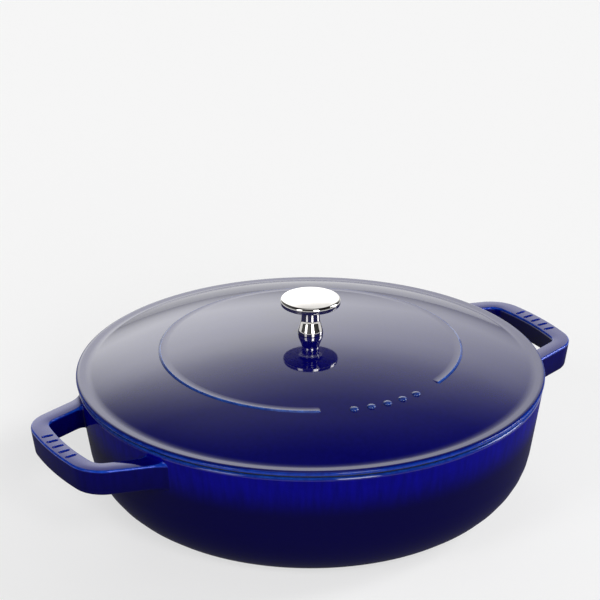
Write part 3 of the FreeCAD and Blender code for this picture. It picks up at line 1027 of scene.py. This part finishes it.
@dataclass
class Lid:
    """The lid's casting with its raised ring, front pips and the basting pips below."""

    radius: float
    seat: float
    flange_out: float
    edge: float = 2.6 * MM
    edge_gap: float = 1.6 * MM
    edge_round: float = 0.8 * MM
    shoulder: float = 3.5 * MM
    shoulder_turn: float = math.radians(38)
    edge_bare: Pair = (1.1 * MM, 0.2 * MM)
    rise: float = 21.6 * MM
    wall: float = 4.0 * MM
    lip_width: float = 7.5 * MM
    lip_hollow: float = 12.0 * MM
    flange_width: float = 4.0 * MM
    flange_depth: float = 5.0 * MM
    flange_play: float = 0.8 * MM
    seat_width: float = 3.9 * MM
    hole_radius: float = 3.3 * MM
    hole_land: float = 1.0 * MM
    boss_radius: float = 9.0 * MM
    boss_drop: float = 1.6 * MM
    ring_radius: float = 90.4 * MM
    ring_inner: float = 2.8 * MM
    ring_outer: float = 1.3 * MM
    ring_show: float = 0.62 * MM
    ring_rounds: Triple = (22.0 * MM, 0.25 * MM, 0.3 * MM)
    ring_end_width: float = 0.25
    ring_sunk: float = 0.03 * MM
    ring_keel: float = 0.6 * MM
    ring_keel_width: float = 0.6
    ring_gap: float = math.radians(51.2)
    ring_gap_middle: float = math.radians(-92.8)
    pip_count: int = 5
    pip_pitch: float = math.radians(6.6)
    pip_half: Triple = (2.6 * MM, 2.6 * MM, 1.25 * MM)
    pip_grid: tuple[int, int] = (18, 32)
    pip_thin: float = 0.5
    drip_rings: tuple[tuple[float, int], ...] = ((45 * MM, 10), (75 * MM, 16), (105 * MM, 22))
    drip_half: Triple = (3.0 * MM, 3.0 * MM, 2.3 * MM)
    drip_grid: tuple[int, int] = (12, 20)
    pebble_powers: Pair = (1.0, 1.0)

    @classmethod
    def from_frame(cls, pot: Pot) -> "Lid":
        """Takes the radius from the frame, and the seat and the flange from the pot that it rests on."""
        flange_foot = pot.inner_radius(pot.height - cls.flange_depth)
        return cls(node_size("lid_shell")[0], pot.height, flange_foot - cls.flange_play)

    @property
    def edge_foot(self) -> float:
        """Level of the edge's underside."""
        return self.seat + self.edge_gap

    @property
    def lip_top(self) -> float:
        """Level of the flat lip around the dome."""
        return self.edge_foot + self.edge

    @property
    def crown(self) -> float:
        """Level of the dome's top."""
        return self.lip_top + self.rise

    @property
    def seat_out(self) -> float:
        """Outer radius of the seat."""
        return self.flange_out + self.seat_width

    @property
    def dome(self) -> Dome:
        """The dome's section."""
        return Dome(self.crown, self.radius - self.lip_width, self.rise)

    def outside(self) -> Array:
        """Outline of the glossy outside, from the screw hole over the dome, hollow, lip and edge.

        The hollow's circle touches the lip's flat and the dome's side from outside.

        Returns:
            Its points, as rows of (radius, height).
        """
        dome = self.dome
        hole, start = self.hole_radius, self.hole_radius + self.hole_land
        middle, low = dome.side_centre
        reach = dome.side_radius + self.lip_hollow
        hollow_level = self.lip_top + self.lip_hollow
        hollow = middle + math.sqrt(reach**2 - (hollow_level - low) ** 2)
        slope = math.asin((hollow - middle) / reach)
        dome_end = middle + dome.side_radius * math.sin(slope)
        small, step = self.edge_round, self.shoulder - self.edge_round
        corner = self.radius - small
        shoulder = corner - step * math.sin(self.shoulder_turn)
        shoulder_level = self.lip_top - self.shoulder
        corner_level = shoulder_level + step * math.cos(self.shoulder_turn)
        foot_level = self.edge_foot + small
        turned = QUARTER - self.shoulder_turn
        stretches = [
            run((hole, dome.level(hole)), (start, dome.level(start)), SHORT_RUN_STEPS),
            bow(*dome.crown_stretch(start), CROWN_STEPS),
            bow(*dome.side_stretch(dome_end), HAUNCH_STEPS),
            bow((hollow, hollow_level), self.lip_hollow, -QUARTER - slope, -QUARTER, HOLLOW_STEPS),
            run((hollow, self.lip_top), (shoulder, self.lip_top)),
            bow((shoulder, shoulder_level), self.shoulder, QUARTER, turned),
            bow((corner, corner_level), small, turned, 0),
            run((self.radius, corner_level), (self.radius, foot_level), SHORT_RUN_STEPS),
            bow((corner, foot_level), small, 0, -QUARTER),
            run((corner, self.edge_foot), (self.seat_out, self.edge_foot), EDGE_FOOT_STEPS),
        ]
        return np.vstack(stretches)

    def underside(self) -> Array:
        """Outline of the underside, from the edge over the seat, flange, dome and boss to the screw hole.

        Returns:
            Its points, as rows of (radius, height), which go on from the outside's.
        """
        dome = self.dome
        flange_in = self.flange_out - self.flange_width
        flange_foot = self.seat - self.flange_depth
        boss = self.crown - self.wall - self.boss_drop
        side, side_size, haunch, flange_bearing = dome.side_stretch(flange_in, self.wall)
        top, top_size, boss_bearing, _ = dome.crown_stretch(self.boss_radius, self.wall)
        brim = [
            (self.seat_out, self.edge_foot),
            (self.seat_out, self.seat),
            (self.flange_out, self.seat),
            (self.flange_out, flange_foot),
            (flange_in, flange_foot),
            (flange_in, dome.level(flange_in, self.wall)),
        ]
        hub = [
            (self.boss_radius, dome.level(self.boss_radius, self.wall)),
            (self.boss_radius, boss),
            (self.hole_radius, boss),
            (self.hole_radius, dome.level(self.hole_radius)),
        ]
        stretches = [
            *(run(*ends) for ends in zip(brim, brim[1:])),
            bow(side, side_size, flange_bearing, haunch, UNDER_HAUNCH_STEPS),
            bow(top, top_size, haunch, boss_bearing, UNDER_CROWN_STEPS),
            *(run(*ends) for ends in zip(hub, hub[1:])),
        ]
        return np.vstack(stretches)

    def casting(self) -> None:
        """Turns the outline, blue outside and black below, with thin glaze over the edge."""
        outside = self.outside()
        outline = np.vstack([outside, self.underside()])
        bare, full = (self.radius - width for width in self.edge_bare)
        glossy = np.arange(len(outline)) < len(outside)
        thin = np.clip((outline[:, 0] - bare) / (full - bare), 0, 1) * glossy
        shape = Shape.from_grid(turned_points(outline), Ends.WRAP, thin[:, None])
        enamels = (BLUE_LID_SHADED, BLUE_EDGE, BLACK)
        top, edge, below = range(len(enamels))
        finish = np.where(glossy, np.where(outline[:, 0] > bare, edge, top), below)
        choice = np.repeat(finish, TURN_STEPS)
        shape.place("lid_casting", enamels, Body.LID, Slot.LID, "lid_shell", choice=choice)

    def ring(self) -> None:
        """Raised ring: a long hollow rise and a short steep fall, carried round the dome, with rounded ends.

        A keel inside the casting closes its section. Its fullness grows as a sine over each end.
        """
        foot, crest, toe = self.ring_rounds
        section = rounded_outline(
            [
                (-2 * self.ring_inner, 0, 0),
                (-self.ring_inner, 0, foot),
                (0, self.ring_show, crest),
                (self.ring_outer, 0, toe),
                (self.ring_outer + toe, 0, 0),
            ]
        )
        across, rise = section.T
        ease = np.linspace(0, QUARTER, RING_END_STEPS, endpoint=False)
        full = np.concatenate([np.sin(ease), np.ones(RING_STEPS + 1), np.sin(ease)[::-1]])[:, None]
        sweep = FULL_TURN - self.ring_gap
        end = self.ring_outer / self.ring_radius
        tip = end * (1 - np.cos(ease))
        between = np.linspace(end, sweep - end, RING_STEPS + 1)
        turn = np.concatenate([tip, between, sweep - tip[::-1]])[:, None]
        turn += self.ring_gap_middle + self.ring_gap / 2
        top = self.ring_radius + across * (self.ring_end_width + (1 - self.ring_end_width) * full)
        level = self.dome.level(top) - self.ring_sunk + rise * full
        keel_half = self.ring_keel_width * self.ring_outer
        keel = self.ring_radius + np.array([keel_half, 0.0, -keel_half]) + 0 * full
        radius = np.hstack([top, keel])
        height = np.hstack([level, self.dome.level(keel) - self.ring_keel])
        grid = np.stack([radius * np.cos(turn), radius * np.sin(turn), height], axis=-1)
        # Thin glaze on the crest, whose lighter colour is partly a painted highlight.
        bare = np.sqrt(rise / self.ring_show) * (across > -crest) * full
        shape = Shape.from_grid(grid, Ends.FAN, np.hstack([bare, 0 * keel]))
        shape.place("lid_ring", [BLUE_RING_GLAZE_AND_HIGHLIGHT], Body.LID, Slot.LID)

    def pips(self) -> None:
        """Round pips in the ring's gap, at equal steps on its circle."""
        place = np.array([self.ring_radius, 0, self.dome.level(self.ring_radius)])
        pip = pebble_points(self.pip_half, self.pebble_powers, self.pip_grid) + place
        turns = even_turns(self.pip_count, self.pip_pitch) + self.ring_gap_middle
        shape = Shape.repeated(pip, turns, self.pip_thin)
        shape.place("lid_front_pips", [BLUE_RING_GLAZE_AND_HIGHLIGHT], Body.LID, Slot.LID)

    def drips(self) -> None:
        """Basting pips under the dome, in rings of equal steps that start half a step off the X axis."""
        pip = pebble_points(self.drip_half, self.pebble_powers, self.drip_grid)
        shapes = []
        for radius, count in self.drip_rings:
            place = np.array([radius, 0, self.dome.level(radius, self.wall)])
            shapes.append(Shape.repeated(pip + place, FULL_TURN * (np.arange(count) + 0.5) / count))
        Shape.joined(shapes).place("lid_basting_pips", [BLACK], Body.LID, Slot.LID)

    def build(self) -> None:
        """Makes the casting and what stands on it."""
        self.casting()
        self.ring()
        self.pips()
        self.drips()


# Knob and hardware


@dataclass
class Knob:
    """Turned mushroom knob with a flared foot, a slim neck and a cap with a low crown."""

    cap_radius: float
    foot: float
    top: float
    middle: float = 0.2 * MM
    base_radius: float = 7.6 * MM
    base_height: float = 2.2 * MM
    base_round: float = 0.4 * MM
    shoulder_round: float = 4.0 * MM
    waist_radius: float = 5.65 * MM
    waist_height: float = 8.6 * MM
    waist_hollow: float = 7.0 * MM
    neck_radius: float = 5.3 * MM
    cap_under: float = 19.0 * MM
    cap_dish: float = 0.6 * MM
    cap_hollow: float = 3.5 * MM
    cap_edge: float = 3.8 * MM
    lower_round: float = 0.8 * MM
    upper_round: float = 1.6 * MM
    crown_bend: float = 8.0 * MM
    crown_round: float = 110.0 * MM

    @classmethod
    def from_frame(cls) -> "Knob":
        """Takes the cap's radius and the knob's foot and top from the frame."""
        return cls(*node_size("knob"))

    def build(self) -> None:
        """Turns the outline from the foot's middle up the stem, under the cap and over its top."""
        under = self.foot + self.cap_under
        outline = rounded_outline(
            [
                (self.middle, self.foot, 0),
                (self.base_radius, self.foot, self.base_round),
                (self.base_radius, self.foot + self.base_height, self.shoulder_round),
                (self.waist_radius, self.foot + self.waist_height, self.waist_hollow),
                (self.neck_radius, under - self.cap_dish, self.cap_hollow),
                (self.cap_radius, under, self.lower_round),
                (self.cap_radius, under + self.cap_edge, self.upper_round),
                (self.crown_bend, self.top, self.crown_round),
                (self.middle, self.top, 0),
            ]
        )
        shape = Shape.from_grid(turned_points(outline, KNOB_TURN_STEPS), Ends.FAN)
        shape.place("knob_turned", [NICKEL], Body.LID, Slot.KNOB, "knob")


def dress_hardware() -> None:
    """Gives the screw and the washers, whose CAD shapes stay, their steel."""
    steel = STEEL.material()
    for node in ("knob_screw", "flat_washer", "spring_washer"):
        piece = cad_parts[node]
        piece.data.materials.clear()
        piece.data.materials.append(steel)
        LOG.info("%s: dressed in %s", node, steel.name)


# Studio


class SkySheet(NodeSheet):
    """A world's node sheet, with the direction that light comes from and its bearing in plan."""

    def __init__(self, tree: bpy.types.NodeTree) -> None:
        """Adds both; the bearing is the direction's level part, drawn out to a unit vector.

        Args:
            tree: The world's tree.
        """
        super().__init__(tree)
        self.direction = self.add("TexCoord").outputs["Generated"]
        level = self.add("VectorMath", {0: self.direction, 1: (1.0, 1.0, 0.0)}, operation="MULTIPLY")
        plan = self.add("VectorMath", {0: level.outputs["Vector"]}, operation="NORMALIZE")
        self.bearing = plan.outputs["Vector"]


@dataclass
class Studio:
    """Pale floor, soft light that is brightest low behind the object, and the photograph's camera."""

    floor_half: float = 40.0
    light_peak: float = 3.15
    # Sine of the elevation, and the share of the peak that shines from there.
    light_by_rise: tuple[Pair, ...] = (
        (0.0, 0.25), (0.09, 0.60), (0.17, 0.86), (0.30, 0.96), (0.40, 1.0), (0.46, 0.91), (0.54, 0.60),
        (0.64, 0.32), (0.71, 0.165), (0.78, 0.115), (0.84, 0.06), (0.90, 0.02), (1.0, 0.02),
    )
    # The band shines behind the object, more on its left than on its right. The rest of the studio is dark.
    back_edges: Pair = (0.75, 1.0)
    side_light: float = 0.05
    across_edges: Pair = (-0.4, 0.4)
    across_lights: Pair = (1.2, 0.62)
    top_edges: Pair = (0.955, 0.975)
    top_light: float = 0.8
    # Three soft boxes stand in the dark: bearings from the camera, to its right, half widths where they
    # start and end to fade, and sines of the elevations between which they fade in and out.
    box_bearings: Triple = (math.radians(-44), math.radians(23), math.radians(108))
    box_half: Pair = (math.radians(9), math.radians(10.5))
    box_foot: Pair = (0.10, 0.14)
    box_head: Pair = (0.66, 0.72)
    box_lights: Triple = (5.5, 14.0, 13.0)
    frame_pixels: float = 600.0
    aim: Triple = (0.0, 0.0, 60 * MM)
    aim_pixel: Pair = (310.5, 397.1)
    azimuth: float = math.radians(-32.0)
    elevation: float = math.radians(25.43)
    distance: float = 1.4202
    focal_pixels: float = 2332.0
    sensor: float = 36.0

    def floor(self) -> None:
        """Lays the floor under the pot's base."""
        mesh = bpy.data.meshes.new("floor")
        signs = ((-1, -1), (1, -1), (1, 1), (-1, 1))
        corners = [(x * self.floor_half, y * self.floor_half, 0) for x, y in signs]
        mesh.from_pydata(corners, [], [range(len(corners))])
        mesh.materials.append(PaleFloor().material())
        floor = bpy.data.objects.new("floor", mesh)
        bpy.context.collection.objects.link(floor)

    def level_way(self, turn: float) -> Triple:
        """Unit vector of the level direction at a bearing from the camera, to its right."""
        return math.sin(self.azimuth + turn), -math.cos(self.azimuth + turn), 0.0

    def band(self, sky: SkySheet) -> Socket:
        """The soft band low behind the object.

        Its strength is a ramp over the sine of the elevation, times ramps over the cosine of the bearing
        from its middle and from the camera's right.

        Args:
            sky: The world's sheet.

        Returns:
            The strength's output.
        """
        rise = sky.add("SeparateXYZ", {"Vector": sky.direction})
        ramp = sky.add("ValToRGB", {"Fac": rise.outputs["Z"]})
        stops = ramp.color_ramp.elements
        stops[0].position, stops[1].position = self.light_by_rise[0][0], self.light_by_rise[-1][0]
        for place, _ in self.light_by_rise[1:-1]:
            stops.new(place)
        for stop, (_, share) in zip(stops, self.light_by_rise):
            stop.color = (share, share, share, 1.0)
        back = sky.along(sky.bearing, self.level_way(math.pi), self.back_edges, (self.side_light, 1.0))
        right = sky.along(sky.bearing, self.level_way(QUARTER), self.across_edges, self.across_lights)
        share = sky.maths("MULTIPLY", sky.maths("MULTIPLY", back, right), ramp.outputs["Color"])
        return sky.maths("MULTIPLY", share, self.light_peak)

    def boxes(self, sky: SkySheet) -> Socket:
        """The soft boxes: each is a ramp over the cosine of the bearing from its own middle.

        Args:
            sky: The world's sheet.

        Returns:
            The output of their summed strength.
        """
        foot = sky.along(sky.direction, UP, self.box_foot, (0.0, 1.0))
        head = sky.along(sky.direction, UP, self.box_head, (1.0, 0.0))
        inside, outside = (math.cos(half) for half in self.box_half)
        total = 0.0
        for turn, strength in zip(self.box_bearings, self.box_lights):
            box = sky.along(sky.bearing, self.level_way(turn), (outside, inside), (0.0, strength))
            total = sky.maths("ADD", box, total)
        return sky.maths("MULTIPLY", total, sky.maths("MULTIPLY", foot, head))

    def light(self) -> None:
        """Lights the scene by a world: the band, a faint light overhead and the soft boxes."""
        world = bpy.data.worlds.new("studio")
        bpy.context.scene.world = world
        world.use_nodes = True
        sky = SkySheet(world.node_tree)
        top = sky.along(sky.direction, UP, self.top_edges, (0.0, self.top_light))
        strength = sky.maths("ADD", sky.maths("ADD", self.band(sky), top), self.boxes(sky))
        background = sky.add("Background", {"Strength": strength})
        sky.add("OutputWorld", {"Surface": background.outputs["Background"]})

    def camera(self) -> None:
        """Sets the camera at the photograph's angle; its shift puts the aim on the photograph's pixel."""
        data = bpy.data.cameras.new("photo_camera")
        data.sensor_width = self.sensor
        data.lens = self.focal_pixels / self.frame_pixels * self.sensor
        data.shift_x = 0.5 - self.aim_pixel[0] / self.frame_pixels
        data.shift_y = self.aim_pixel[1] / self.frame_pixels - 0.5
        camera = bpy.data.objects.new("photo_camera", data)
        back = Vector(self.level_way(0.0)) * math.cos(self.elevation) + Vector(UP) * math.sin(self.elevation)
        camera.location = Vector(self.aim) + back * self.distance
        camera.rotation_euler = (-back).to_track_quat("-Z", "Y").to_euler()
        bpy.context.collection.objects.link(camera)
        bpy.context.scene.camera = camera

    def build(self) -> None:
        """Makes the floor, the light and the camera."""
        self.floor()
        self.light()
        self.camera()
        bpy.context.scene.view_settings.view_transform = "Standard"


def main() -> None:
    """Builds the braiser's pieces and the studio around them."""
    logging.basicConfig(level=logging.INFO, format="%(name)s: %(message)s")
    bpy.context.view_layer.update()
    pot = Pot.from_frame()
    pot.build()
    for side in Side:
        LoopHandle.from_frame(side, pot).build()
    Lid.from_frame(pot).build()
    Knob.from_frame().build()
    dress_hardware()
    Studio().build()


if __name__ == "__main__":
    main()
